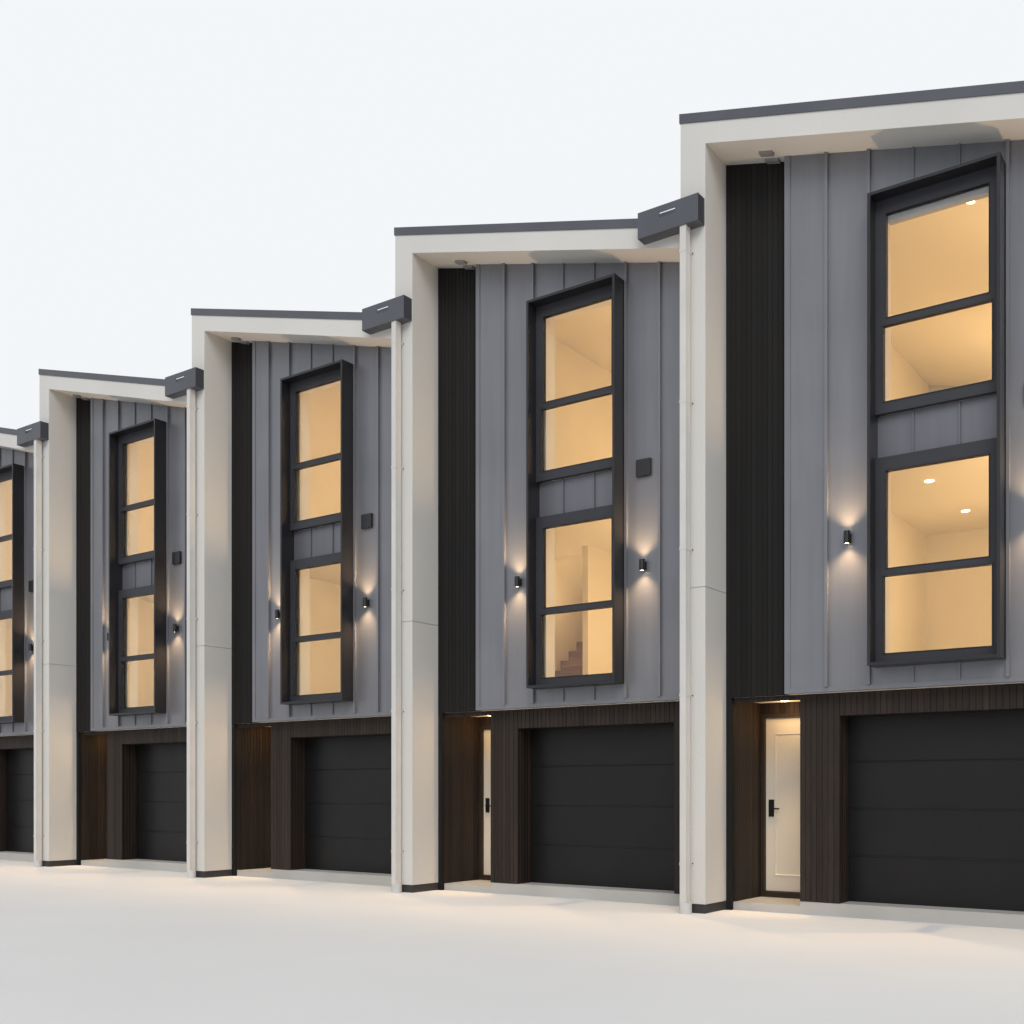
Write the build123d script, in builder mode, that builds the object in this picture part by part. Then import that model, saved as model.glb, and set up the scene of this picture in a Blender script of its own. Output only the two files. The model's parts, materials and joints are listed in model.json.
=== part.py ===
from build123d import *
from math import atan, degrees
import os

os.makedirs("parts", exist_ok=True)

# Row
UNITS = 5
PITCH = 4480.0
DEPTH = 9600.0

# Party fins and the portal beam
FIN_W = 320.0
FIN_D = 565.0
PLINTH_H = 110.0
PLINTH_IN = 15.0
JOINT_Z = 3800.0
JOINT_GAP = 10.0
TOP_Z = 9400.0
SLOPE = 0.27
BEAM_H = 360.0
CAP_H = 110.0
CAP_OVER = 12.0
CAP_W = 200.0

# Ground and floors
SLAB_Z = 150.0
ALCOVE_Z = 95.0
FLOOR1_Z = (2545.0, 2850.0)
FLOOR2_Z = (5270.0, 5490.0)

# Front and rear walls
PANEL_Y = FIN_D
PANEL_T = 35.0
WALL_Y = (500.0, 720.0)
REAR_Y = (DEPTH - 200.0, DEPTH)
BASE_Z = FLOOR1_Z[0]
LOW_Z = TOP_Z - SLOPE * PITCH

# How far each house's facade is set out from the usual place
FACADE_SHIFT = (0.0, 0.0, -210.0, -210.0, -210.0)
CORNER_SHARE = 0.55

# Tray cladding
CLAD_S = 1122.0
CLAD_Y = 435.0
CLAD_T = WALL_Y[0] - CLAD_Y
BAYS = 7
RIB_W = 34.0
RIB_D = 40.0
RIB_IN = 10.0
SEAM_W = 16.0
SEAM_D = 20.0
FLASH_W = 55.0
FLASH_T = 10.0

# Window hood and the two windows in it
HOOD_S = (2143.0, 3481.0)
HOOD_Z = (2780.0, TOP_Z - 1530.0)
HOOD_Y = 170.0
HOOD_T = 32.0
FRAME_Y = (350.0, 420.0)
GLASS_Y = 375.0
GLASS_T = 12.0
PANE_S = (2292.0, 3335.0)
TRANSOM_H = 87.0
WINDOW_HEAD = 155.0
WINDOW_SILLS = (110.0, 125.0)
SASH_W = 30.0
LOWER_Z = (HOOD_Z[0] + HOOD_T, 5050.0)
UPPER_Z = (5525.0, HOOD_Z[1] - HOOD_T)
LOWER_MID = 3757.0
UPPER_MID = 6470.0
LOWER_PANES = ((LOWER_Z[0] + WINDOW_SILLS[0], LOWER_MID), (LOWER_MID + TRANSOM_H, LOWER_Z[1] - WINDOW_HEAD))
UPPER_PANES = ((UPPER_Z[0] + WINDOW_SILLS[1], UPPER_MID), (UPPER_MID + TRANSOM_H, UPPER_Z[1] - WINDOW_HEAD))

# Rear windows
REAR_S = (1500.0, 3300.0)
REAR_TOP = TOP_Z - 1910.0
REAR_WINDOWS = ((1120.0, 2220.0), (3680.0, 4980.0), (REAR_TOP - 1100.0, REAR_TOP))
REAR_FRAME = 60.0

# Entry alcove and its door
PORTAL_S = 1222.0
ENTRY_S = (FIN_W + 70.0, PORTAL_S + 33.0)
LEAF_T = 44.0
LEAF_Y = 1500.0
ENTRY_Y = (LEAF_Y - 64.0, LEAF_Y + LEAF_T)
SOFFIT_T = 12.0
FASCIA_H = 60.0
FASCIA_T = 30.0
SIDE_WALL_T = 120.0
JAMB = 35.0
GAP = 6.0
DOOR_HEAD_Z = 2395.0
SILL_H = 14.0
STOP_T = 15.0
KNUCKLE_R = 7.0
PIN_R = 3.0
PIN_FIT = 0.05
KNUCKLE_H = 30.0
HINGE_PLATE = 2.0
HINGE_Z = (370.0, 1230.0, 2080.0)

# Garage portal and its sectional door
PORTAL_Y = (620.0, 950.0)
GARAGE_S = (PORTAL_S + 458.0, PITCH - 400.0)
GARAGE_TOP = 2285.0
SECTIONS = 4
SECTION_T = 40.0
SECTION_GAP = 8.0

# Rain head and downpipe, measured from the next fin's left face
HEAD_S = (-480.0, FIN_W - 10.0)
HEAD_Z = (LOW_Z - 190.0, LOW_Z + 120.0)
HEAD_D = 170.0
SHEET = 8.0
PIPE_S = (68.0, 147.0)
PIPE_Y = (-155.0, -43.0)
PIPE_WALL = 3.0
SHOE_R = 73.0
SHOE_H = 130.0
SHOE_OFF = 8.0
CLIP_Z = (580.0, 2545.0, 4250.0, 5960.0, HEAD_Z[0] - 285.0)
CLIP_H = 30.0
CLIP_T = 4.0
CLIP_EAR = 24.0
GUTTER_W = 250.0
GUTTER_Z = LOW_Z - 280.0

# Wall lights and vent
LIGHT_S = (1855.0, 3760.0)
LIGHT_Z = 4240.0
LIGHT_R = 35.0
LIGHT_H = 140.0
VENT_Z = 5460.0
VENT_W = 200.0
VENT_H = 210.0
VENT_D = 45.0
VENT_WALL = 8.0

# Rooms seen through the windows of the first two houses
STAIR_HOUSE = 1
STAIR_WALL_S = (1250.0, 1350.0)
STAIR_Y = 3040.0
RISERS = 14
GOING = 250.0
WALL_START = 3000.0
BACK_WALL_Y = 5430.0
ROOM_WALL_T = 100.0

# The row is centred on its own length and depth
MID_X = (PITCH + FIN_W - (UNITS - 1) * PITCH) / 2
MID_Y = (DEPTH + CAP_OVER - HEAD_D) / 2


def roof(s):
    return TOP_Z - SLOPE * s


def places(first=0):
    return [(-n * PITCH - MID_X, -MID_Y, 0) for n in range(first, UNITS)]


def block(s, y, z, mode=Mode.ADD):
    with Locations(((s[0] + s[1]) / 2, (y[0] + y[1]) / 2, (z[0] + z[1]) / 2)):
        Box(s[1] - s[0], y[1] - y[0], z[1] - z[0], mode=mode)


def sloped(s, y, low, high, mode=Mode.ADD):
    # low and high are distances below the roof line, or None for a level bottom
    bottom = [(s[0], roof(s[0]) - low), (s[1], roof(s[1]) - low)]
    top = [(s[1], roof(s[1]) - high), (s[0], roof(s[0]) - high)]
    prism(bottom + top, y, mode)


def under_roof(s, y, z, below, mode=Mode.ADD):
    outline = [(s[0], z), (s[1], z), (s[1], roof(s[1]) - below), (s[0], roof(s[0]) - below)]
    prism(outline, y, mode)


def prism(outline, y, mode=Mode.ADD):
    with BuildSketch(Plane.XZ.offset(-y[0])) as face:
        with BuildLine():
            Polyline(*outline, close=True)
        make_face()
    extrude(face.sketch, amount=-(y[1] - y[0]), mode=mode)


def row(name, unit, extra=None):
    with BuildPart() as whole:
        with Locations(*places()):
            add(unit.part)
        if extra is not None:
            with Locations(places()[0]):
                add(extra.part)
    export_step(whole.part, "parts/" + name + ".step")


def facade_row(name, make):
    # one house of each setting out is made, then copied to its places
    with BuildPart() as whole:
        for shift in sorted(set(FACADE_SHIFT)):
            with BuildPart(mode=Mode.PRIVATE) as unit:
                make(shift)
            spots = [place for place, d in zip(places(), FACADE_SHIFT) if d == shift]
            with Locations(*spots):
                add(unit.part)
    export_step(whole.part, "parts/" + name + ".step")


def moved(span, shift):
    return (span[0] + shift, span[1] + shift)


def corner(shift):
    # the corner of the cladding moves less than the windows
    return CLAD_S + shift * CORNER_SHARE


# Ground slabs, lower in the alcove
with BuildPart() as unit:
    block((FIN_W, PORTAL_S), (PORTAL_Y[0], ENTRY_Y[0]), (0, ALCOVE_Z))
    block((PORTAL_S, PITCH), (PORTAL_Y[0], ENTRY_Y[0]), (0, SLAB_Z))
    block((FIN_W, PITCH), (ENTRY_Y[0], DEPTH), (0, SLAB_Z))
row("ground_slabs", unit)

# Party walls, with a low end wall
END = (PITCH, PITCH + FIN_W)
END_TOP = roof(PITCH) - CAP_H
with BuildPart() as unit:
    under_roof((0, FIN_W), (FIN_D, DEPTH), 0, CAP_H)
with BuildPart() as end:
    block(END, (FIN_D, DEPTH), (0, END_TOP))
row("party_walls", unit, end)

# Fins at the front of the party walls
with BuildPart() as unit:
    under_roof((0, FIN_W), (0, FIN_D), PLINTH_H, CAP_H)
    with BuildPart(mode=Mode.SUBTRACT):
        block((-1, FIN_W + 1), (-1, FIN_D), (JOINT_Z, JOINT_Z + JOINT_GAP))
        block((JOINT_GAP, FIN_W - JOINT_GAP), (JOINT_GAP, FIN_D), (JOINT_Z, JOINT_Z + JOINT_GAP),
              Mode.SUBTRACT)
with BuildPart() as end:
    block(END, (0, FIN_D), (PLINTH_H, END_TOP))
    with BuildPart(mode=Mode.SUBTRACT):
        block((END[0] - 1, END[1] + 1), (-1, FIN_D), (JOINT_Z, JOINT_Z + JOINT_GAP))
        block((END[0] + JOINT_GAP, END[1] - JOINT_GAP), (JOINT_GAP, FIN_D), (JOINT_Z, JOINT_Z + JOINT_GAP),
              Mode.SUBTRACT)
row("fins", unit, end)

# Recessed plinths below the fins
with BuildPart() as unit:
    block((PLINTH_IN, FIN_W - PLINTH_IN), (PLINTH_IN, FIN_D), (0, PLINTH_H))
    block((FIN_W - PLINTH_IN, FIN_W), (FIN_D - 2 * PLINTH_IN, FIN_D), (0, PLINTH_H))
with BuildPart() as end:
    block((END[0] + PLINTH_IN, END[1] - PLINTH_IN), (PLINTH_IN, FIN_D), (0, PLINTH_H))
row("fin_plinths", unit, end)

# Sloping portal beams
DECK_Y = PANEL_Y + PANEL_T
with BuildPart() as unit:
    sloped((FIN_W, PITCH), (0, DECK_Y), BEAM_H, CAP_H)
row("portal_beams", unit)

# Roof decks with a trough for the gutter
GUTTER_S = (PITCH - GUTTER_W, PITCH)
with BuildPart() as unit:
    sloped((FIN_W, PITCH), (DECK_Y, DEPTH), BEAM_H, CAP_H)
    block((GUTTER_S[0], GUTTER_S[1] + 1), (DECK_Y - 1, DEPTH + 1), (GUTTER_Z, TOP_Z), Mode.SUBTRACT)
row("roof_decks", unit)

# Box gutters
GUTTER_TOP = roof(GUTTER_S[0]) - CAP_H
with BuildPart() as unit:
    block(GUTTER_S, (DECK_Y, DEPTH), (GUTTER_Z, END_TOP))
    block((GUTTER_S[0] + SHEET, GUTTER_S[1] - SHEET), (DECK_Y + SHEET, DEPTH - SHEET),
          (GUTTER_Z + SHEET, TOP_Z), Mode.SUBTRACT)
row("box_gutters", unit)

# Roof sheets with standing seams down the fall
SEAMS = 19
FOLD_W = 20.0
SHEET_T = 15.0
FOLD_H = 45.0
SHEET_S = (CAP_W, GUTTER_S[0] + 2 * SHEET)
SHEET_Y = (CAP_W, DEPTH - CAP_W)
with BuildPart() as unit:
    sloped(SHEET_S, SHEET_Y, CAP_H, CAP_H - SHEET_T)
    for i in range(1, SEAMS + 1):
        mid = SHEET_Y[0] + (SHEET_Y[1] - SHEET_Y[0]) * i / (SEAMS + 1)
        sloped(SHEET_S, (mid - FOLD_W / 2, mid + FOLD_W / 2), CAP_H, CAP_H - FOLD_H)
row("roof_sheets", unit)

# Dark metal caps round the roof edge
HEAD_LEFT = PITCH + HEAD_S[0]
with BuildPart() as unit:
    sloped((-CAP_OVER, PITCH), (0, CAP_W), CAP_H, 0)
    sloped((-CAP_OVER, HEAD_LEFT - 2), (-CAP_OVER, 0), CAP_H, 0)
    sloped((-CAP_OVER, CAP_W), (CAP_W, DEPTH - CAP_W), CAP_H, 0)
    sloped((-CAP_OVER, PITCH), (DEPTH - CAP_W, DEPTH + CAP_OVER), CAP_H, 0)
with BuildPart() as end:
    block((END[0] + 2, END[1] + CAP_OVER), (0, DEPTH + CAP_OVER), (END_TOP, END_TOP + CAP_H))
row("roof_caps", unit, end)

# Rain heads with an overflow slot
HEAD_SLOT = (290.0, 496.0)
HEAD_SLOT_Z = (HEAD_Z[1] - 138.0, HEAD_Z[1] - 80.0)
HEAD_X = (PITCH + HEAD_S[0], PITCH + HEAD_S[1])
PIPE_X = (PITCH + PIPE_S[0], PITCH + PIPE_S[1])
PIPE_MID = (PIPE_X[0] + PIPE_X[1]) / 2
with BuildPart() as unit:
    block(HEAD_X, (-HEAD_D, 0), HEAD_Z)
    block((HEAD_X[0] + SHEET, HEAD_X[1] - SHEET), (-HEAD_D + SHEET, -SHEET),
          (HEAD_Z[0] + SHEET, HEAD_Z[1] + 1), Mode.SUBTRACT)
    block((HEAD_X[0] + HEAD_SLOT[0], HEAD_X[0] + HEAD_SLOT[1]), (-HEAD_D - 1, -HEAD_D + SHEET + 1),
          HEAD_SLOT_Z, Mode.SUBTRACT)
    block((PIPE_X[0] + PIPE_WALL, PIPE_X[1] - PIPE_WALL), (PIPE_Y[0] + PIPE_WALL, PIPE_Y[1] - PIPE_WALL),
          (HEAD_Z[0] - 1, HEAD_Z[0] + SHEET + 1), Mode.SUBTRACT)
row("rain_heads", unit)

# Downpipes, clips and shoes
with BuildPart() as unit:
    block(PIPE_X, PIPE_Y, (SHOE_H, HEAD_Z[0]))
    block((PIPE_X[0] + PIPE_WALL, PIPE_X[1] - PIPE_WALL), (PIPE_Y[0] + PIPE_WALL, PIPE_Y[1] - PIPE_WALL),
          (SHOE_H - 1, HEAD_Z[0] + 1), Mode.SUBTRACT)
row("downpipes", unit)

with BuildPart() as unit:
    for z in CLIP_Z:
        half = (z - CLIP_H / 2, z + CLIP_H / 2)
        block((PIPE_X[0] - CLIP_T, PIPE_X[1] + CLIP_T), (PIPE_Y[0] - CLIP_T, PIPE_Y[1] + CLIP_T), half)
        block(PIPE_X, PIPE_Y, half, Mode.SUBTRACT)
        block((PIPE_MID - CLIP_H / 2, PIPE_MID + CLIP_H / 2), (PIPE_Y[1] + CLIP_T, -CLIP_T), half)
        block((PIPE_X[0] - CLIP_EAR, PIPE_X[1] + CLIP_EAR), (-CLIP_T, 0), half)
row("pipe_clips", unit)

with BuildPart() as unit:
    with Locations((PIPE_MID + SHOE_OFF, (PIPE_Y[0] + PIPE_Y[1]) / 2, SHOE_H / 2)):
        Cylinder(SHOE_R, SHOE_H)
row("pipe_shoes", unit)

# Upper front walls with two window openings
REVEAL = 60.0
INNER_S = (HOOD_S[0] + HOOD_T, HOOD_S[1] - HOOD_T)


def front_wall(shift):
    under_roof((FIN_W, corner(shift)), (DECK_Y, WALL_Y[1]), BASE_Z, BEAM_H)
    under_roof((corner(shift), PITCH), WALL_Y, BASE_Z, BEAM_H)
    for z in (LOWER_Z, UPPER_Z):
        block(moved((INNER_S[0] + REVEAL, INNER_S[1] - REVEAL), shift), (WALL_Y[0] - 1, WALL_Y[1] + 1),
              (z[0] + REVEAL / 2, z[1] - REVEAL), Mode.SUBTRACT)


facade_row("front_walls", front_wall)

# Tray cladding with ribs
BAY = (PITCH - CLAD_S - RIB_W) / BAYS


def ribs(shift):
    # the last bay is cut by the next fin
    mids = [CLAD_S + shift + RIB_IN + BAY * i for i in range(1, BAYS + 1)]
    return [mid for mid in mids if mid < PITCH - RIB_W]


def behind_hood(mid, shift):
    return HOOD_S[0] < mid - shift < HOOD_S[1]


def cladding(shift):
    under_roof((corner(shift), PITCH), (CLAD_Y, WALL_Y[0]), BASE_Z, BEAM_H)
    for mid in ribs(shift):
        # thin seams above and below the hood, full ribs beside it
        half, out = (SEAM_W / 2, SEAM_D) if behind_hood(mid, shift) else (RIB_W / 2, RIB_D)
        under_roof((mid - half, mid + half), (CLAD_Y - out, CLAD_Y), BASE_Z + FLASH_W, BEAM_H)
    block(moved(HOOD_S, shift), (CLAD_Y - RIB_D - 1, WALL_Y[0] + 1), HOOD_Z, Mode.SUBTRACT)


facade_row("cladding", cladding)

# Ribbed spandrels between the two windows in each hood
def spandrel(shift):
    inner = moved(INNER_S, shift)
    block(inner, (CLAD_Y, WALL_Y[0]), (LOWER_Z[1], UPPER_Z[0]))
    for mid in ribs(shift):
        if behind_hood(mid, shift):
            block((mid - SEAM_W / 2, mid + SEAM_W / 2), (CLAD_Y - SEAM_D, CLAD_Y), (LOWER_Z[1], UPPER_Z[0]))


facade_row("spandrels", spandrel)

# Corner and base flashings
def flashings(shift):
    edge = corner(shift)
    under_roof((edge - CAP_OVER, edge), (CLAD_Y - FLASH_T, DECK_Y), BASE_Z, BEAM_H)
    under_roof((edge, edge + FLASH_W), (CLAD_Y - FLASH_T, CLAD_Y), BASE_Z, BEAM_H)
    block((edge + FLASH_W, PITCH), (CLAD_Y - FLASH_T, CLAD_Y), (BASE_Z, BASE_Z + FLASH_W))


facade_row("cladding_flashings", flashings)

# Black stained timber panels beside the cladding, with a corner post down to the ground
def black_panel(shift):
    under_roof((FIN_W, corner(shift) - CAP_OVER), (PANEL_Y, DECK_Y), BASE_Z, BEAM_H)
    block((FIN_W, ENTRY_S[0]), (PANEL_Y, PORTAL_Y[0]), (0, BASE_Z))


facade_row("black_panels", black_panel)

# Projecting window hoods
def hood(shift):
    block(moved(HOOD_S, shift), (HOOD_Y, WALL_Y[0]), HOOD_Z)
    block(moved(INNER_S, shift), (HOOD_Y - 1, WALL_Y[0] + 1), (HOOD_Z[0] + HOOD_T, HOOD_Z[1] - HOOD_T),
          Mode.SUBTRACT)


facade_row("window_hoods", hood)

# Window frames, front and rear
REAR_FRAME_Y = (REAR_Y[1] - 120.0, REAR_Y[1] - 50.0)
REAR_MID = (REAR_S[0] + REAR_S[1]) / 2
REAR_PANES = ((REAR_S[0] + REAR_FRAME, REAR_MID - REAR_FRAME / 2),
              (REAR_MID + REAR_FRAME / 2, REAR_S[1] - REAR_FRAME))


def pane_width(pane):
    # the fixed lower panes are wider than the sashes over them
    extra = SASH_W if pane in (LOWER_PANES[0], UPPER_PANES[0]) else 0
    return (PANE_S[0] - extra, PANE_S[1] + extra)


def frames(shift):
    for z, panes in ((LOWER_Z, LOWER_PANES), (UPPER_Z, UPPER_PANES)):
        block(moved(INNER_S, shift), FRAME_Y, z)
        for pane in panes:
            block(moved(pane_width(pane), shift), (FRAME_Y[0] - 1, FRAME_Y[1] + 1), pane, Mode.SUBTRACT)
    for z in REAR_WINDOWS:
        block(REAR_S, REAR_FRAME_Y, z)
        for s in REAR_PANES:
            block(s, (REAR_FRAME_Y[0] - 1, REAR_FRAME_Y[1] + 1), (z[0] + REAR_FRAME, z[1] - REAR_FRAME),
                  Mode.SUBTRACT)


facade_row("window_frames", frames)

# Glass
REAR_GLASS_Y = sum(REAR_FRAME_Y) / 2


def glass(shift):
    for pane in LOWER_PANES + UPPER_PANES:
        block(moved(pane_width(pane), shift), (GLASS_Y, GLASS_Y + GLASS_T), pane)
    for z in REAR_WINDOWS:
        for s in REAR_PANES:
            block(s, (REAR_GLASS_Y, REAR_GLASS_Y + GLASS_T), (z[0] + REAR_FRAME, z[1] - REAR_FRAME))


facade_row("window_glass", glass)

# Blind cassette at the head of the first house's upper window
CASSETTE_Y = (FRAME_Y[1], WALL_Y[0])
CASSETTE_DROP = 70.0
CASSETTE_TOP = UPPER_Z[1] - REVEAL
with BuildPart() as cassette:
    block(PANE_S, CASSETTE_Y, (UPPER_Z[1] - WINDOW_HEAD - CASSETTE_DROP, CASSETTE_TOP))
with BuildPart() as placed:
    with Locations(places()[0]):
        add(cassette.part)
export_step(placed.part, "parts/blind_cassette.step")

# Floors
with BuildPart() as unit:
    block((FIN_W, PITCH), (WALL_Y[1], REAR_Y[0]), FLOOR1_Z)
row("first_floors", unit)

STAIR_END = STAIR_Y + GOING * (RISERS - 1)
WELL_Y = (STAIR_Y + 2 * GOING, STAIR_END)
with BuildPart() as second:
    for n, place in enumerate(places()):
        with Locations(place):
            with BuildPart(mode=Mode.PRIVATE) as unit:
                block((FIN_W, PITCH), (WALL_Y[1], REAR_Y[0]), FLOOR2_Z)
                if n == STAIR_HOUSE:
                    block((FIN_W - 1, STAIR_WALL_S[0]), WELL_Y, (FLOOR2_Z[0] - 1, FLOOR2_Z[1] + 1),
                          Mode.SUBTRACT)
            add(unit.part)
export_step(second.part, "parts/second_floors.step")

# Closed flight between the party wall and the stair wall, one solid a step
RISE = (FLOOR2_Z[1] - FLOOR1_Z[1]) / RISERS
STEP_UNDER = 50.0
with BuildPart() as flight:
    for k in range(1, RISERS):
        y = STAIR_Y + GOING * (k - 1)
        z = FLOOR1_Z[1] + RISE * k
        low = max(z - RISE - STEP_UNDER, FLOOR1_Z[1])
        block((FIN_W, STAIR_WALL_S[0]), (y, y + GOING), (low, z))
with BuildPart() as placed:
    with Locations(places()[STAIR_HOUSE]):
        add(flight.part)
export_step(placed.part, "parts/stair_steps.step")

# Inner walls of the lit rooms
with BuildPart() as inner:
    for n in (0, STAIR_HOUSE):
        with Locations(places()[n]):
            with BuildPart(mode=Mode.PRIVATE) as unit:
                block(STAIR_WALL_S, (WALL_START, BACK_WALL_Y + ROOM_WALL_T), (FLOOR1_Z[1], FLOOR2_Z[0]))
                block((STAIR_WALL_S[1], PITCH), (BACK_WALL_Y, BACK_WALL_Y + ROOM_WALL_T),
                      (FLOOR1_Z[1], FLOOR2_Z[0]))
                if n == STAIR_HOUSE:
                    block(STAIR_WALL_S, (BACK_WALL_Y, STAIR_END), (FLOOR1_Z[1], FLOOR2_Z[0]))
            add(unit.part)
export_step(inner.part, "parts/room_walls.step")

# Rear walls with a window on each storey
with BuildPart() as unit:
    under_roof((FIN_W, PITCH), REAR_Y, SLAB_Z, BEAM_H)
    for z in REAR_WINDOWS:
        block(REAR_S, (REAR_Y[0] - 1, REAR_Y[1] + 1), z, Mode.SUBTRACT)
row("rear_walls", unit)

# Walls of the entry alcove
SIDE_S = (ENTRY_S[1], ENTRY_S[1] + SIDE_WALL_T)
with BuildPart() as unit:
    block(SIDE_S, (PORTAL_Y[1], ENTRY_Y[1]), (SLAB_Z, BASE_Z))
row("entry_walls", unit)

# Timber linings of the alcove
BOARD_T = 25.0
with BuildPart() as unit:
    block((FIN_W, ENTRY_S[0]), (PORTAL_Y[0], ENTRY_Y[0]), (ALCOVE_Z, BASE_Z))
    block((FIN_W, ENTRY_S[0]), ENTRY_Y, (SLAB_Z, BASE_Z))
    block((ENTRY_S[1] - BOARD_T, ENTRY_S[1]), (PORTAL_Y[1], ENTRY_Y[0]), (SLAB_Z, BASE_Z))
row("entry_linings", unit)

# Alcove soffits
with BuildPart() as unit:
    block((ENTRY_S[0], PORTAL_S), (PORTAL_Y[0] + FASCIA_T, PORTAL_Y[1]), (BASE_Z - SOFFIT_T, BASE_Z))
    block((ENTRY_S[0], ENTRY_S[1] - BOARD_T), (PORTAL_Y[1], ENTRY_Y[0]), (BASE_Z - SOFFIT_T, BASE_Z))
row("entry_soffits", unit)

# Transoms over the doors
with BuildPart() as unit:
    block(ENTRY_S, ENTRY_Y, (DOOR_HEAD_Z, BASE_Z))
row("entry_transoms", unit)

# Door frames with a stop
LEAF_HOLE = (ENTRY_S[0] + JAMB, ENTRY_S[1] - JAMB)
LEAF_TOP = DOOR_HEAD_Z - JAMB
with BuildPart() as unit:
    block(ENTRY_S, ENTRY_Y, (SLAB_Z, DOOR_HEAD_Z))
    block(LEAF_HOLE, (ENTRY_Y[0] - 1, ENTRY_Y[1] + 1), (SLAB_Z - 1, LEAF_TOP), Mode.SUBTRACT)
    with BuildPart():
        block(LEAF_HOLE, (ENTRY_Y[0], LEAF_Y - GAP), (SLAB_Z, LEAF_TOP))
        block((LEAF_HOLE[0] + STOP_T, LEAF_HOLE[1] - STOP_T), (ENTRY_Y[0] - 1, LEAF_Y),
              (SLAB_Z - 1, LEAF_TOP - STOP_T), Mode.SUBTRACT)
row("door_frames", unit)

# Thresholds with a kick board below
KICK_T = 12.0
with BuildPart() as unit:
    block((ENTRY_S[0], PORTAL_S), (ENTRY_Y[0] - KICK_T, ENTRY_Y[0]), (ALCOVE_Z, SLAB_Z + SILL_H))
    block((LEAF_HOLE[0] + STOP_T, LEAF_HOLE[1] - STOP_T), (ENTRY_Y[0], LEAF_Y - GAP), (SLAB_Z, SLAB_Z + SILL_H))
    block(LEAF_HOLE, (LEAF_Y - GAP, ENTRY_Y[1]), (SLAB_Z, SLAB_Z + SILL_H))
row("thresholds", unit)

# Garage portals with a fascia over the alcove
with BuildPart() as unit:
    block((PORTAL_S, PITCH), PORTAL_Y, (SLAB_Z, BASE_Z))
    block((ENTRY_S[0], PORTAL_S), (PORTAL_Y[0], PORTAL_Y[0] + FASCIA_T), (BASE_Z - FASCIA_H, BASE_Z))
    block(GARAGE_S, (PORTAL_Y[0] - 1, PORTAL_Y[1] + 1), (SLAB_Z - 1, GARAGE_TOP), Mode.SUBTRACT)
row("garage_portals", unit)

# Sectional garage doors
LAP = 30.0
with BuildPart() as unit:
    door_s = (GARAGE_S[0] - LAP, GARAGE_S[1] + LAP)
    door_z = (SLAB_Z, GARAGE_TOP + LAP)
    face = PORTAL_Y[1] + GAP
    block(door_s, (face, face + SECTION_T), door_z)
    for i in range(1, SECTIONS):
        z = door_z[0] + (door_z[1] - door_z[0]) * i / SECTIONS
        block((door_s[0] - 1, door_s[1] + 1), (face - 1, face + SECTION_GAP),
              (z - SECTION_GAP / 2, z + SECTION_GAP / 2), Mode.SUBTRACT)
row("garage_doors", unit)

# Wall lights, lenses and vents open underneath
def lights(shift):
    for s in moved(LIGHT_S, shift):
        with Locations((s, CLAD_Y - LIGHT_R - 30, LIGHT_Z)):
            Cylinder(LIGHT_R, LIGHT_H)
        block((s - 20, s + 20), (CLAD_Y - LIGHT_R - 5, CLAD_Y), (LIGHT_Z - 30, LIGHT_Z + 30))
        block((s - 32, s + 32), (CLAD_Y - 8, CLAD_Y), (LIGHT_Z - 48, LIGHT_Z + 48))
        for side in (-1, 1):
            with Locations((s, CLAD_Y - LIGHT_R - 30, LIGHT_Z + side * (LIGHT_H / 2 - 7.5))):
                Cylinder(LIGHT_R - 6, 15, mode=Mode.SUBTRACT)


def lenses(shift):
    for s in moved(LIGHT_S, shift):
        for side in (-1, 1):
            with Locations((s, CLAD_Y - LIGHT_R - 30, LIGHT_Z + side * (LIGHT_H / 2 - 11))):
                Cylinder(LIGHT_R - 6, 8)


def vent(shift):
    s = LIGHT_S[1] + shift
    half = VENT_W / 2
    low = VENT_Z - VENT_H / 2
    block((s - half, s + half), (CLAD_Y - VENT_D, CLAD_Y), (low, low + VENT_H))
    block((s - half + VENT_WALL, s + half - VENT_WALL), (CLAD_Y - VENT_D + VENT_WALL, CLAD_Y - VENT_WALL),
          (low - 1, low + VENT_H / 2), Mode.SUBTRACT)


facade_row("wall_lights", lights)
facade_row("lamp_lenses", lenses)
facade_row("wall_vents", vent)

# Small fittings under the portal soffit
FITTING_S = (860.0, 1020.0)
FITTINGS_Y = ((275.0, 350.0), (455.0, 530.0))
FITTING_T = 35.0


def fittings(shift):
    for y in FITTINGS_Y:
        sloped(moved(FITTING_S, shift), y, BEAM_H + FITTING_T, BEAM_H)


facade_row("soffit_fittings", fittings)

# Recessed lights in the alcove soffit, the first-floor ceiling and the sloping ceiling
LAMP_R = 50.0
LAMP_T = 8.0
ROOM_LAMP_S = 2200.0
ROOM_LAMPS_Y = (2400.0, 4200.0)
TOP_LAMP = ((PANE_S[0] + PANE_S[1]) / 2, 1800.0)
PITCH_ANGLE = degrees(atan(SLOPE))
with BuildPart() as unit:
    alcove_mid = ((ENTRY_S[0] + PORTAL_S) / 2, (PORTAL_Y[1] + ENTRY_Y[0]) / 2)
    with Locations((*alcove_mid, BASE_Z - SOFFIT_T - LAMP_T / 2)):
        Cylinder(LAMP_R, LAMP_T)
    for y in ROOM_LAMPS_Y:
        with Locations((ROOM_LAMP_S, y, FLOOR2_Z[0] - LAMP_T / 2)):
            Cylinder(LAMP_R, LAMP_T)
    with Locations(Location((TOP_LAMP[0], TOP_LAMP[1], roof(TOP_LAMP[0]) - BEAM_H), (0, PITCH_ANGLE, 0))):
        with Locations((0, 0, -LAMP_T / 2)):
            Cylinder(LAMP_R, LAMP_T)
row("downlights", unit)

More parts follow.
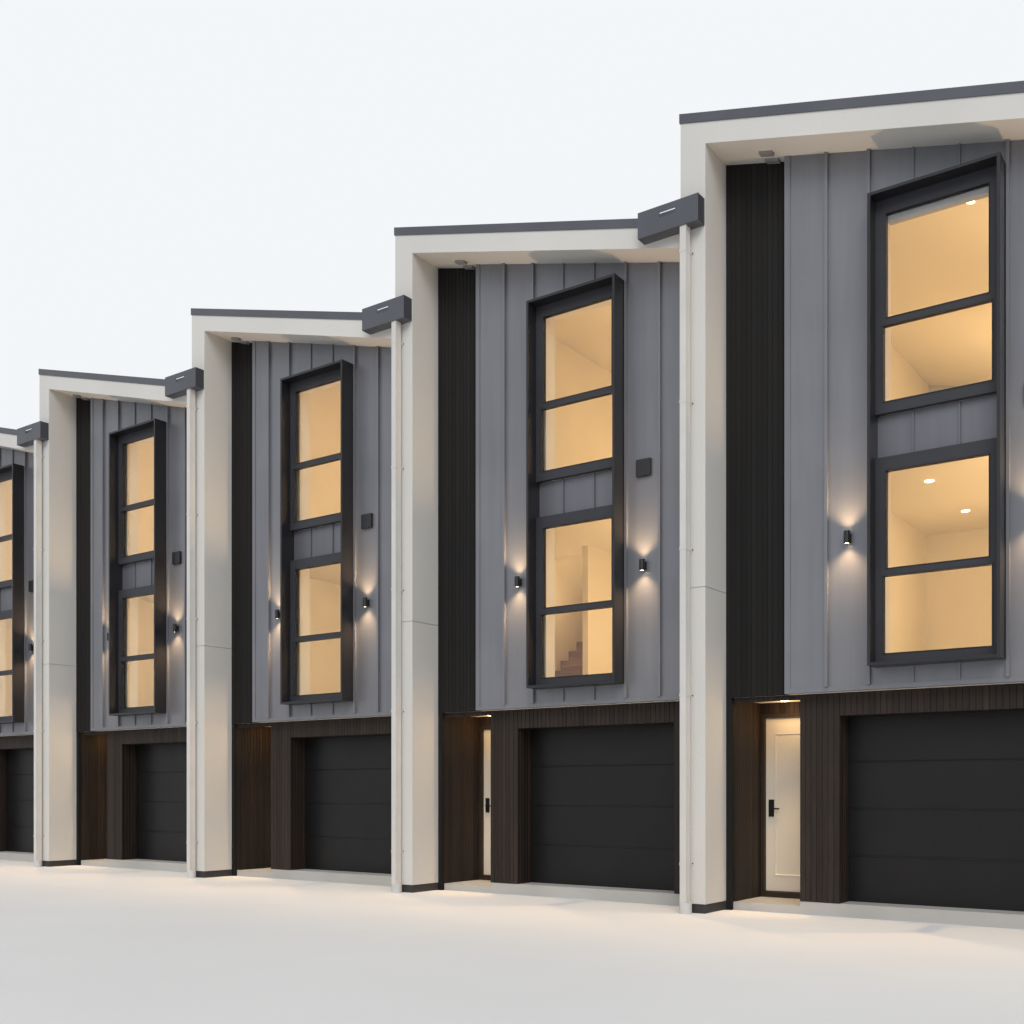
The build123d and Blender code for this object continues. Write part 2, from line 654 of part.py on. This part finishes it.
# Butt hinges: fixed knuckles and pin on the frame
LEAF_S = (LEAF_HOLE[0] + GAP, LEAF_HOLE[1] - GAP)
LEAF_Z = (SLAB_Z + SILL_H + GAP, LEAF_TOP - GAP)
LEAF_BACK = LEAF_Y + LEAF_T
AXIS = (LEAF_HOLE[1] - GAP / 2, LEAF_BACK + KNUCKLE_R + 1)
PLATE_Y = (LEAF_Y + 12, AXIS[1])
with BuildPart() as unit:
    for z in HINGE_Z:
        for side in (-1, 1):
            with Locations((AXIS[0], AXIS[1], z + side * KNUCKLE_H)):
                Cylinder(KNUCKLE_R, KNUCKLE_H)
            half = (z + side * KNUCKLE_H - KNUCKLE_H / 2, z + side * KNUCKLE_H + KNUCKLE_H / 2)
            block((LEAF_HOLE[1] - HINGE_PLATE, LEAF_HOLE[1]), PLATE_Y, half)
        with Locations((AXIS[0], AXIS[1], z)):
            Cylinder(PIN_R, KNUCKLE_H)
row("door_hinges", unit)

# Front doors, one leaf and its hardware a unit
BORDER = 130.0
with BuildPart() as leaf:
    block(LEAF_S, (LEAF_Y, LEAF_BACK), LEAF_Z)
    panel_s = (LEAF_S[0] + BORDER, LEAF_S[1] - BORDER)
    panel_z = (LEAF_Z[0] + 200, LEAF_Z[1] - 215)
    for y in ((LEAF_Y - 1, LEAF_Y + 8), (LEAF_BACK - 8, LEAF_BACK + 1)):
        block(panel_s, y, panel_z, Mode.SUBTRACT)

HANDLE_S = LEAF_S[0] + 80.0
HANDLE_Z = 1205.0
with BuildPart() as hardware:
    for z in HINGE_Z:
        half = (z - KNUCKLE_H / 2 + 0.5, z + KNUCKLE_H / 2 - 0.5)
        with Locations((AXIS[0], AXIS[1], z)):
            Cylinder(KNUCKLE_R, KNUCKLE_H - 1)
        block((LEAF_S[1], LEAF_S[1] + HINGE_PLATE), PLATE_Y, half)
        with Locations((AXIS[0], AXIS[1], z)):
            Cylinder(PIN_R + PIN_FIT, KNUCKLE_H, mode=Mode.SUBTRACT)
    for out, y in ((-1, LEAF_Y), (1, LEAF_BACK)):
        block((HANDLE_S - 35, HANDLE_S + 35), sorted((y, y + out * 10)), (HANDLE_Z - 100, HANDLE_Z + 115))
        block((HANDLE_S - 9, HANDLE_S + 9), sorted((y + out * 10, y + out * 45)), (HANDLE_Z - 9, HANDLE_Z + 9))
        block((HANDLE_S - 9, HANDLE_S + 120), sorted((y + out * 45, y + out * 57)), (HANDLE_Z - 10, HANDLE_Z + 10))

for n, place in enumerate(places(), start=1):
    for name, piece in (("door_leaf", leaf), ("door_hardware", hardware)):
        with BuildPart() as placed:
            with Locations(place):
                add(piece.part)
        export_step(placed.part, "parts/" + name + "_" + str(n) + ".step")
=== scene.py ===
import bmesh
import bpy
import json
import math
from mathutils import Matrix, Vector


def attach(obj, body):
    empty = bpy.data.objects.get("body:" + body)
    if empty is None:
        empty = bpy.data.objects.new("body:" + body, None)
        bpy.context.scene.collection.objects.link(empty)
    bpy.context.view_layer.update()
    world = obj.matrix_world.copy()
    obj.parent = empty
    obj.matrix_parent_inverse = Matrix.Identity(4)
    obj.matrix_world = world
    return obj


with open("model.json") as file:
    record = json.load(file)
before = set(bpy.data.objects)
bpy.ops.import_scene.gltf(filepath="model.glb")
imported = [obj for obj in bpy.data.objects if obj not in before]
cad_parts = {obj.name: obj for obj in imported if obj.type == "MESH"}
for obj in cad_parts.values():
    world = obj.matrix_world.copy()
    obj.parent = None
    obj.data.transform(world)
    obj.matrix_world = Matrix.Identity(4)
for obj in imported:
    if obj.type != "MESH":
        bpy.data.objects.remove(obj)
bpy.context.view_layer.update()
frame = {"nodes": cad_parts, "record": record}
NODES = frame["nodes"]
BODY = "house_row"

# Set-out of the row, in metres: a house's own s runs from its left fin, y from the fin's front
UNITS = 5
PITCH = 4.48
FIN_W = 0.32
MID_X = -6.56
MID_Y = 4.721
TOP_Z = 9.4
SLOPE = 0.27
BEAM_H = 0.36
BASE_Z = 2.545
SLAB_Z = 0.15
FACADE_SHIFT = (0.0, 0.0, -0.21, -0.21, -0.21)
FRONT = Vector((0, -1, 0))
RIGHT = Vector((1, 0, 0))
LEFT = Vector((-1, 0, 0))

# Garage portal, alcove and black panel
PORTAL_S = 1.222
PORTAL_Y = (0.62, 0.95)
GARAGE_S = (1.68, 4.08)
GARAGE_TOP = 2.285
ENTRY_S = (0.39, 1.255)
ENTRY_FRONT = 1.436
ALCOVE_Z = 0.095
DOOR_HEAD_Z = 2.395
BOARD_TOP = 2.532
SOFFIT_Z = 2.533
FASCIA_Z = 2.485
FASCIA_T = 0.03
LINING_T = 0.025
CLAD_S = 1.122
CORNER_SHARE = 0.55
CAP_OVER = 0.012
PANEL_Y = 0.565

# Insides of the rooms between the party walls
ROOMS_END_X = 11.33
ROOMS_Y = (0.62, 9.5)
PARTY_TOP = 8.05


def spot(n, s, y, z=0.0):
    return Vector((s - n * PITCH - MID_X, y - MID_Y, z))


def roof(s):
    return TOP_Z - SLOPE * s


# Node trees
MIX_INPUTS = (0, 6, 7)
MIX_RESULT = 2


class Tree:
    def __init__(self, tree):
        self.tree = tree

    def new(self, kind, **inputs):
        node = self.tree.nodes.new(kind)
        for key, value in inputs.items():
            node.inputs[key.replace("_", " ")].default_value = value
        return node

    def link(self, source, target):
        self.tree.links.new(source, target)

    def feed(self, socket, value):
        # a link from another socket, a colour or a number
        if isinstance(value, bpy.types.NodeSocket):
            self.link(value, socket)
        elif isinstance(value, tuple):
            socket.default_value = (*value, 1.0)
        else:
            socket.default_value = value

    def math(self, kind, *values, clamp=False):
        node = self.new("ShaderNodeMath")
        node.operation = kind
        node.use_clamp = clamp
        for socket, value in zip(node.inputs, values):
            self.feed(socket, value)
        return node.outputs[0]

    def axes(self, vector):
        node = self.new("ShaderNodeSeparateXYZ")
        self.link(vector, node.inputs["Vector"])
        return node.outputs


class Shader(Tree):
    def __init__(self, name):
        self.mat = bpy.data.materials.new(name)
        self.mat.use_nodes = True
        super().__init__(self.mat.node_tree)
        self.bsdf = self.tree.nodes["Principled BSDF"]
        self.coord = self.new("ShaderNodeTexCoord")

    def noise(self, scale, stretch=(1, 1, 1), detail=2.0, rough=0.55):
        place = self.new("ShaderNodeMapping", Scale=stretch)
        self.link(self.coord.outputs["Object"], place.inputs["Vector"])
        noise = self.new("ShaderNodeTexNoise", Scale=scale, Detail=detail, Roughness=rough)
        self.link(place.outputs["Vector"], noise.inputs["Vector"])
        return noise.outputs["Fac"]

    def ramp(self, fac, low, high, start=0.3, end=0.7):
        ramp = self.new("ShaderNodeMapRange", From_Min=start, From_Max=end, To_Min=low, To_Max=high)
        self.link(fac, ramp.inputs["Value"])
        return ramp.outputs["Result"]

    def vary(self, fac, by):
        return self.ramp(fac, 1 - by, 1 + by)

    def mix(self, kind, *values):
        # a factor and two colours
        node = self.new("ShaderNodeMix")
        node.data_type = "RGBA"
        node.blend_type = kind
        for index, value in zip(MIX_INPUTS, values):
            self.feed(node.inputs[index], value)
        return node.outputs[MIX_RESULT]

    def tint(self, colour, fac):
        # colour times a factor that changes over the surface
        return self.mix("MULTIPLY", 1.0, colour, fac)

    def colour(self, source):
        self.link(source, self.bsdf.inputs["Base Color"])

    def rough(self, fac, low, high):
        self.link(self.ramp(fac, low, high), self.bsdf.inputs["Roughness"])

    def bump(self, height, strength, distance, after=None):
        bump = self.new("ShaderNodeBump", Strength=strength, Distance=distance)
        self.link(height, bump.inputs["Height"])
        if after is not None:
            self.link(after, bump.inputs["Normal"])
        self.link(bump.outputs["Normal"], self.bsdf.inputs["Normal"])
        return bump.outputs["Normal"]

    def set(self, **values):
        for key, value in values.items():
            self.bsdf.inputs[key.replace("_", " ")].default_value = value


# Finishes
def coated(name, colour, rough, metal=0.0, mottle=0.06, scale=1.2, pitted=0.15, waves=0.0, streaks=0.0,
           shine=0.5):
    # factory paint on sheet or extrusion: faint patches, fine orange peel, slow waves of the sheet
    s = Shader(name)
    s.set(Metallic=metal, Specular_IOR_Level=shine)
    tone = s.tint(colour, s.vary(s.noise(scale), mottle))
    if streaks:
        runs = s.noise(scale=9.0, stretch=(1, 1, 0.06), detail=3.0)
        tone = s.tint(tone, s.vary(runs, streaks))
    s.colour(tone)
    s.rough(s.noise(scale=2.0, detail=1.0), rough - 0.03, rough + 0.03)
    peel = s.bump(s.noise(scale=420.0, detail=1.0), strength=pitted, distance=0.0002)
    if waves:
        slow = s.noise(scale=1.6, stretch=(1, 1, 0.35), detail=1.0)
        s.bump(slow, strength=waves, distance=0.012, after=peel)
    return s.mat


def indoors(s):
    # 1 inside the rooms, by place in the row and the way the face looks
    place = s.axes(s.coord.outputs["Object"])
    looks = s.axes(s.new("ShaderNodeNewGeometry").outputs["Normal"])
    below = s.math("LESS_THAN", place["Z"], PARTY_TOP)
    right = s.math("GREATER_THAN", looks["X"], 0.5)
    result = s.math("MAXIMUM", below, right)
    for part in (
        s.math("LESS_THAN", s.math("ABSOLUTE", place["X"]), ROOMS_END_X),
        s.math("GREATER_THAN", place["Y"], ROOMS_Y[0] - MID_Y),
        s.math("LESS_THAN", place["Y"], ROOMS_Y[1] - MID_Y),
    ):
        result = s.math("MULTIPLY", result, part)
    return result


def rendered(name, colour, rough=0.85, mottle=0.05, grain=0.35, inside=None):
    # trowelled or sprayed finish with fine sand grain
    s = Shader(name)
    s.set(Roughness=rough)
    broad = s.vary(s.noise(scale=0.7, stretch=(1, 1, 0.5)), mottle)
    tone = s.tint(s.tint(colour, broad), s.vary(s.noise(scale=60.0), 0.015))
    if inside is not None:
        tone = s.mix("MIX", indoors(s), tone, s.tint(inside, broad))
    s.colour(tone)
    s.bump(s.noise(scale=300.0, detail=1.0), strength=grain, distance=0.0006)
    return s.mat


def timber(name, colour, rough, along=(1, 1, 0.04), contrast=0.35, coat=0.0, boards=0.25, shine=0.5):
    # stained boards: long grain, a tone of its own for each board, open pores
    s = Shader(name)
    s.set(Coat_Weight=coat, Coat_Roughness=0.25, Specular_IOR_Level=shine)
    grain = s.noise(scale=55.0, stretch=along, detail=3.0, rough=0.65)
    broad = s.noise(scale=7.0, stretch=along, detail=1.0)
    tone = s.tint(s.tint(colour, s.vary(grain, contrast)), s.vary(broad, 0.2))
    island = s.new("ShaderNodeNewGeometry").outputs["Random Per Island"]
    s.colour(s.tint(tone, s.ramp(island, 1 - boards, 1 + boards, start=0.0, end=1.0)))
    s.rough(grain, rough - 0.08, rough + 0.1)
    s.bump(grain, strength=0.35, distance=0.0012)
    return s.mat


def glazing(name):
    s = Shader(name)
    s.set(Base_Color=(0.93, 0.96, 0.95, 1), IOR=1.45, Transmission_Weight=1.0)
    s.rough(s.noise(scale=0.9), 0.0, 0.012)
    s.bump(s.noise(scale=0.7, detail=0.0), strength=0.03, distance=0.01)
    return s.mat


def lamp(name, colour, strength):
    s = Shader(name)
    s.set(Roughness=0.35, Emission_Strength=strength, Emission_Color=(*colour, 1))
    s.colour(s.tint(colour, s.ramp(s.noise(scale=120.0), 0.95, 1.0)))
    return s.mat


def fabric(name, colour):
    s = Shader(name)
    s.set(Roughness=0.95, Sheen_Weight=0.3)
    weave = s.noise(scale=900.0, stretch=(1, 1, 0.3))
    s.colour(s.tint(colour, s.ramp(weave, 0.85, 1.1)))
    s.bump(weave, strength=0.4, distance=0.0005)
    return s.mat


INDOOR_PAINT = (0.80, 0.75, 0.66)
FINISHES = {
    "pale_panel": (rendered, dict(colour=(0.60, 0.59, 0.565), rough=0.7, mottle=0.035, grain=0.25)),
    "party_render": (rendered, dict(colour=(0.57, 0.56, 0.53), rough=0.88, mottle=0.07, grain=0.5,
                                    inside=INDOOR_PAINT)),
    "concrete": (rendered, dict(colour=(0.42, 0.41, 0.39), rough=0.9, mottle=0.12, grain=0.6)),
    "dark_base": (rendered, dict(colour=(0.037, 0.035, 0.036), rough=0.7, mottle=0.2, grain=0.5)),
    "plaster": (rendered, dict(colour=INDOOR_PAINT, rough=0.8, mottle=0.015, grain=0.1)),
    "soffit_board": (rendered, dict(colour=(0.74, 0.71, 0.64), rough=0.6, mottle=0.02, grain=0.1)),
    "tray_metal": (coated, dict(colour=(0.175, 0.18, 0.20), rough=0.38, metal=0.35, scale=0.9, pitted=0.1,
                                waves=0.3, streaks=0.05)),
    "roof_metal": (coated, dict(colour=(0.15, 0.155, 0.17), rough=0.42, metal=0.35, mottle=0.08, scale=1.1,
                                pitted=0.1, waves=0.3, streaks=0.05)),
    "dark_metal": (coated, dict(colour=(0.085, 0.09, 0.105), rough=0.4, metal=0.35, mottle=0.08, scale=1.5,
                                pitted=0.12, waves=0.2)),
    # spandrels under the window hoods: darker than tray_metal, a painted shade of the hoods over them
    "slate_metal": (coated, dict(colour=(0.135, 0.14, 0.16), rough=0.42, metal=0.3, mottle=0.08, scale=0.9,
                                 pitted=0.1, waves=0.25, streaks=0.05)),
    "black_metal": (coated, dict(colour=(0.016, 0.016, 0.019), rough=0.34, mottle=0.12, scale=2.0,
                                 pitted=0.05, shine=0.4)),
    "black_frame": (coated, dict(colour=(0.034, 0.035, 0.042), rough=0.5, mottle=0.1, scale=2.0,
                                 pitted=0.05, shine=0.3)),
    "fitting_grey": (coated, dict(colour=(0.22, 0.215, 0.21), rough=0.5, scale=8.0, pitted=0.2)),
    "pipe_paint": (coated, dict(colour=(0.58, 0.57, 0.55), rough=0.45, mottle=0.04, scale=3.0,
                                streaks=0.02)),
    "black_timber": (timber, dict(colour=(0.0075, 0.0068, 0.0065), rough=0.7, boards=0.3, shine=0.25)),
    "brown_timber": (timber, dict(colour=(0.019, 0.0125, 0.0092), rough=0.6, contrast=0.45, boards=0.3,
                                  shine=0.3)),
    "door_paint": (coated, dict(colour=(0.74, 0.69, 0.60), rough=0.42, mottle=0.015, scale=2.0,
                                pitted=0.2)),
    "hinge_steel": (coated, dict(colour=(0.55, 0.55, 0.55), rough=0.32, metal=1.0, mottle=0.05,
                                 scale=30.0, pitted=0.1)),
    "clear_glass": (glazing, {}),
    "lens": (lamp, dict(colour=(1.0, 0.82, 0.55), strength=12.0)),
    "shoe_plastic": (coated, dict(colour=(0.52, 0.52, 0.52), rough=0.6, scale=8.0, pitted=0.2)),
    "blind_fabric": (fabric, dict(colour=(0.45, 0.43, 0.44))),
    "floor_timber": (timber, dict(colour=(0.30, 0.17, 0.085), rough=0.4, along=(0.05, 1, 1), contrast=0.3,
                                  coat=0.3, boards=0.12)),
    "garage_panel": (coated, dict(colour=(0.0085, 0.0082, 0.0085), rough=0.4, mottle=0.12, scale=2.5,
                                  pitted=0.25, waves=0.25, shine=0.25)),
    "frame_paint": (coated, dict(colour=(0.03, 0.021, 0.015), rough=0.5, mottle=0.08, scale=3.0,
                                 shine=0.3)),
}
MATERIALS = {name: make(name, **values) for name, (make, values) in FINISHES.items()}
OWN_FINISH = {"garage_doors": "garage_panel", "door_frames": "frame_paint", "thresholds": "frame_paint"}
SLOTS = {part["node"]: part["material_slot"] for part in frame["record"]["subparts"]}
for name, obj in NODES.items():
    if obj.type != "MESH":
        continue
    chosen = MATERIALS[OWN_FINISH.get(name, SLOTS[name])]
    if not obj.material_slots:
        obj.data.materials.append(chosen)
    for slot in obj.material_slots:
        slot.material = chosen


# Mesh pieces
def add_mesh(name, bm, material):
    mesh = bpy.data.meshes.new(name)
    bm.to_mesh(mesh)
    bm.free()
    mesh.materials.append(material)
    obj = bpy.data.objects.new(name, mesh)
    bpy.context.scene.collection.objects.link(obj)
    return obj


def piece(name, bm, slot, finish=None, body=BODY):
    bmesh.ops.recalc_face_normals(bm, faces=bm.faces)
    obj = add_mesh(name, bm, MATERIALS[finish or slot])
    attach(obj, body)


def band(bm, low, high):
    # faces from one closed outline to the next
    for i in range(len(low)):
        j = (i + 1) % len(low)
        bm.faces.new((low[i], high[i], high[j], low[j]))


def capped(bm, low, high):
    bm.faces.new(low)
    bm.faces.new(list(reversed(high)))
    band(bm, low, high)


def prism(bm, outline, axis):
    low = [bm.verts.new(p) for p in outline]
    high = [bm.verts.new(p + axis) for p in outline]
    capped(bm, low, high)


def frame_ring(bm, n, s, z, profile):
    # a closed tube round a rectangle; the profile gives how far out it goes, and y
    loops = []
    for grow, y in profile:
        low, high = z[0] - grow, z[1] + grow
        left, right = s[0] - grow, s[1] + grow
        corners = ((left, low), (right, low), (right, high), (left, high))
        loops.append([bm.verts.new(spot(n, a, y, b)) for a, b in corners])
    for inner, outer in zip(loops, loops[1:] + loops[:1]):
        band(bm, inner, outer)


BOARD_P = 0.066
BOARD_GAP = 0.005
BOARD_T = 0.006
CHAMFER = 0.0025


def board(bm, start, along, out, width, bottom, top_left, top_right):
    # an upright board with chamfered front edges and a top that may slope
    c = CHAMFER
    edge = BOARD_T - c
    profile = [(0, 0), (0, edge), (c, BOARD_T), (width - c, BOARD_T), (width, edge), (width, 0)]
    low = []
    high = []
    for u, d in profile:
        point = start + along * u + out * d
        low.append(bm.verts.new(point + Vector((0, 0, bottom))))
        top = top_left + (top_right - top_left) * u / width
        high.append(bm.verts.new(point + Vector((0, 0, top))))
    capped(bm, low, high)


def boards(bm, a, b, out, bottom, top):
    # boards from a to b in plan; bottom and top are functions of the distance from a
    line = b - a
    along = line.normalized()
    count = round(line.length / BOARD_P)
    step = line.length / count
    for i in range(count):
        u0 = i * step + BOARD_GAP / 2
        u1 = (i + 1) * step - BOARD_GAP / 2
        board(bm, a + along * u0, along, out, u1 - u0, bottom((u0 + u1) / 2), top(u0), top(u1))


# Dark boards round the garage doors and in the alcoves
def level(z):
    return lambda u: z


def over_garage(u):
    return GARAGE_TOP if GARAGE_S[0] < PORTAL_S + u < GARAGE_S[1] else SLAB_Z


FACE_Y, BACK_Y = PORTAL_Y
INNER_Y = FACE_Y + FASCIA_T
LINING_S = (ENTRY_S[0], ENTRY_S[1] - LINING_T)
RUNS = (
    ((PORTAL_S, FACE_Y), (PITCH, FACE_Y), FRONT, over_garage, BASE_Z),
    ((GARAGE_S[0], FACE_Y), (GARAGE_S[0], BACK_Y), RIGHT, level(SLAB_Z), GARAGE_TOP),
    ((GARAGE_S[1], FACE_Y), (GARAGE_S[1], BACK_Y), LEFT, level(SLAB_Z), GARAGE_TOP),
    ((LINING_S[0], FACE_Y), (PORTAL_S, FACE_Y), FRONT, level(FASCIA_Z), BASE_Z),
    ((PORTAL_S, INNER_Y), (PORTAL_S, BACK_Y), LEFT, level(ALCOVE_Z), BOARD_TOP),
    ((LINING_S[0], INNER_Y), (LINING_S[0], ENTRY_FRONT), RIGHT, level(ALCOVE_Z), BOARD_TOP),
    ((LINING_S[1], BACK_Y), (LINING_S[1], ENTRY_FRONT), LEFT, level(SLAB_Z), BOARD_TOP),
    ((LINING_S[0], ENTRY_FRONT), (LINING_S[1], ENTRY_FRONT), FRONT, level(DOOR_HEAD_Z), BOARD_TOP),
)
bm = bmesh.new()
for n in range(UNITS):
    for start, end, out, bottom, top in RUNS:
        boards(bm, spot(n, *start), spot(n, *end), out, bottom, level(top))
piece("portal_boards", bm, "brown_timber")


# Black stained boards beside the cladding
TOP_GAP = 0.001


def under_beam(u):
    return roof(FIN_W + u) - BEAM_H - TOP_GAP


bm = bmesh.new()
for n in range(UNITS):
    edge = CLAD_S + FACADE_SHIFT[n] * CORNER_SHARE - CAP_OVER
    boards(bm, spot(n, FIN_W, PANEL_Y), spot(n, edge, PANEL_Y), FRONT, level(BASE_Z), under_beam)
piece("black_boards", bm, "black_timber")

# Bolt heads on the ears of the pipe clips
PIPE_S = (0.068, 0.147)
CLIP_EAR = 0.024
CLIP_T = 0.004
CLIP_Z = (0.58, 2.545, 4.25, 5.96, 7.7154)
BOLT_R = 0.008
BOLT_H = 0.006
EAR_MID = (CLIP_EAR + CLIP_T) / 2
CORNERS = [math.radians(60 * i) for i in range(6)]
HEXAGON = [Vector((BOLT_R * math.cos(a), 0, BOLT_R * math.sin(a))) for a in CORNERS]
bm = bmesh.new()
for n in range(UNITS):
    for z in CLIP_Z:
        for s in (PIPE_S[0] - EAR_MID, PIPE_S[1] + EAR_MID):
            centre = spot(n, PITCH + s, -CLIP_T, z)
            prism(bm, [centre + corner for corner in HEXAGON], FRONT * BOLT_H)
piece("clip_bolts", bm, "black_metal")

# Glazing beads round the panes of the front windows
PANE_S = (2.292, 3.335)
SASH_W = 0.03
LOW_PANES = ((2.922, 3.757), (5.65, 6.47))
HIGH_PANES = ((3.844, 4.895), (6.557, 7.683))
FRAME_FRONT = 0.35
BEAD_W = 0.013
BEAD_EDGE = 0.004
BEAD_FRONT = FRAME_FRONT - 0.006
BEAD = ((0, FRAME_FRONT), (0, BEAD_FRONT), (BEAD_W - BEAD_EDGE, BEAD_FRONT), (BEAD_W, FRAME_FRONT))
bm = bmesh.new()
for n in range(UNITS):
    left, right = (s + FACADE_SHIFT[n] for s in PANE_S)
    for z in HIGH_PANES:
        frame_ring(bm, n, (left, right), z, BEAD)
    for z in LOW_PANES:
        frame_ring(bm, n, (left - SASH_W, right + SASH_W), z, BEAD)
piece("glazing_beads", bm, "black_metal")

# Mouldings round the panel on both faces of the front doors
LEAF_Y = (1.5, 1.544)
LEAF_PANEL_S = (0.561, 1.084)
LEAF_PANEL_Z = (0.37, 2.139)
MOULDING = ((0.012, 0), (0.008, 0.005), (0, 0.006), (-0.006, 0), (-0.014, -0.007), (-0.016, -0.008))
for n in range(UNITS):
    bm = bmesh.new()
    for face, out in zip(LEAF_Y, (-1, 1)):
        profile = [(grow, face + out * rise) for grow, rise in MOULDING]
        frame_ring(bm, n, LEAF_PANEL_S, LEAF_PANEL_Z, profile)
    piece(f"door_moulding_{n + 1}", bm, "door_paint", body=f"front_door_{n + 1}")

# Rolled top edges of the garage door sections
SECTIONS = 4
GARAGE_FACE = 0.956
GARAGE_Z = (0.15, 2.315)
SECTION_GAP = 0.008
ROLL_T = 0.004
ROLL = ((0, 0), (ROLL_T, -0.007), (ROLL_T, -0.012), (0, -0.02))
ROLL_END = 0.01
bm = bmesh.new()
for n in range(UNITS):
    for i in range(1, SECTIONS):
        top = GARAGE_Z[0] + (GARAGE_Z[1] - GARAGE_Z[0]) * i / SECTIONS - SECTION_GAP / 2
        outline = [spot(n, GARAGE_S[0] + ROLL_END, GARAGE_FACE - out, top + down) for out, down in ROLL]
        prism(bm, outline, RIGHT * (GARAGE_S[1] - GARAGE_S[0] - 2 * ROLL_END))
piece("section_rolls", bm, SLOTS["garage_doors"], "garage_panel")

# Floor
FLOOR_COLOUR = (0.78, 0.775, 0.765)
FLOOR_SIZE = 200.0
ground = Shader("studio_floor")
ground.set(Roughness=0.95)
ground.colour(ground.tint(FLOOR_COLOUR, ground.vary(ground.noise(scale=0.4), 0.02)))
bm = bmesh.new()
bmesh.ops.create_grid(bm, x_segments=1, y_segments=1, size=FLOOR_SIZE)
floor = add_mesh("studio_floor", bm, ground.mat)


# Lamps of the rooms, alcoves and wall lights, seen only by what they light
def lit_by(name, kind, place, radius, power, colour):
    data = bpy.data.lights.new(name, kind)
    data.shadow_soft_size = radius
    data.energy = power
    data.color = colour
    obj = bpy.data.objects.new(name, data)
    obj.location = place
    obj.visible_camera = False
    obj.visible_glossy = False
    obj.visible_transmission = False
    bpy.context.scene.collection.objects.link(obj)
    return obj


def beam(name, place, radius, power, colour, angle):
    obj = lit_by(name, "SPOT", place, radius, power, colour)
    obj.data.spot_size = math.radians(angle)
    obj.data.spot_blend = 1.0
    return obj


def soften(data, smooth):
    # less glare next to the lamp
    data.use_nodes = True
    tree = Tree(data.node_tree)
    falloff = tree.new("ShaderNodeLightFalloff", Strength=1.0, Smooth=smooth)
    tree.link(falloff.outputs["Quadratic"], data.node_tree.nodes["Emission"].inputs["Strength"])


ROOM_LIGHT = (1.0, 0.64, 0.29)
ROOM_LAMP_R = 0.35
ROOM_LAMPS = ((3.5, 1.9, 4.0, 46), (2.7, 3.6, 4.0, 26), (3.2, 2.3, 6.6, 58), (2.6, 6.6, 6.8, 95))
STAIR_HOUSE = 1
STAIR_LAMP = (0.9, 3.4, 4.6, 9)
ALCOVE_LAMP = (0.8, 1.15, SOFFIT_Z - 0.12)
ALCOVE_LAMP_R = 0.05
ALCOVE_LAMP_POWER = 6
ALCOVE_BEAM = (0.8, 0.98, SOFFIT_Z - 0.02)
ALCOVE_BEAM_R = 0.04
ALCOVE_BEAM_POWER = 130
ALCOVE_ANGLE = 56
WALL_LIGHT = (1.0, 0.66, 0.35)
WALL_S = (1.855, 3.76)
WALL_Y = 0.37
WALL_Z = 4.24
WALL_END = 0.072
WALL_LAMP_R = 0.02
WALL_POWER = 170
WALL_ANGLE = 120
WALL_SMOOTH = 0.2
for n in range(UNITS):
    lamps = ROOM_LAMPS + (STAIR_LAMP,) if n == STAIR_HOUSE else ROOM_LAMPS
    for s, y, z, power in lamps:
        lit_by("room_lamp", "POINT", spot(n, s, y, z), ROOM_LAMP_R, power, ROOM_LIGHT)
    lit_by("alcove_lamp", "POINT", spot(n, *ALCOVE_LAMP), ALCOVE_LAMP_R, ALCOVE_LAMP_POWER, ROOM_LIGHT)
    beam("alcove_beam", spot(n, *ALCOVE_BEAM), ALCOVE_BEAM_R, ALCOVE_BEAM_POWER, ROOM_LIGHT, ALCOVE_ANGLE)
    for s in WALL_S:
        for side in (-1, 1):
            place = spot(n, s + FACADE_SHIFT[n], WALL_Y, WALL_Z + side * WALL_END)
            wall_beam = beam("wall_beam", place, WALL_LAMP_R, WALL_POWER, WALL_LIGHT, WALL_ANGLE)
            if side > 0:
                wall_beam.rotation_euler = (math.pi, 0, 0)
            soften(wall_beam.data, WALL_SMOOTH)

# Soft daylight from the front and a pale sky
SUN_WAY = Vector((-0.45, 0.75, -0.62))
sun = bpy.data.lights.new("key_sun", "SUN")
sun.energy = 1.6
sun.angle = math.radians(35)
sun.color = (1.0, 0.98, 0.95)
key = bpy.data.objects.new("key_sun", sun)
key.rotation_euler = SUN_WAY.to_track_quat("-Z", "Y").to_euler()
bpy.context.scene.collection.objects.link(key)

LIGHTING_SKY = (0.93, 0.96, 1.0, 1)
LIGHTING_STRENGTH = 0.62
SEEN_SKY = (0.90, 0.92, 0.95, 1)
world = bpy.data.worlds.new("studio")
bpy.context.scene.world = world
world.use_nodes = True
sky = Tree(world.node_tree)
lit = world.node_tree.nodes["Background"]
lit.inputs["Color"].default_value = LIGHTING_SKY
lit.inputs["Strength"].default_value = LIGHTING_STRENGTH
seen = sky.new("ShaderNodeBackground", Color=SEEN_SKY, Strength=1.0)
path = sky.new("ShaderNodeLightPath")
seen_by = path.outputs["Is Camera Ray"]
for other in ("Is Glossy Ray", "Is Transmission Ray"):
    seen_by = sky.math("ADD", seen_by, path.outputs[other], clamp=True)
choice = sky.new("ShaderNodeMixShader")
for socket, source in zip(choice.inputs, (seen_by, lit.outputs[0], seen.outputs[0])):
    sky.link(source, socket)
sky.link(choice.outputs[0], world.node_tree.nodes["World Output"].inputs["Surface"])

# Camera at the photograph's viewing angle
camera = bpy.data.cameras.new("camera")
camera.sensor_width = 36.0
camera.lens = 38.71
camera.shift_y = 0.2715
camera.clip_end = 400.0
view = bpy.data.objects.new("camera", camera)
view.location = (12.513, -16.421, 1.44)
view.rotation_euler = (math.radians(90), 0, math.radians(35.67))
bpy.context.scene.collection.objects.link(view)
bpy.context.scene.camera = view
bpy.context.scene.view_settings.view_transform = "Standard"
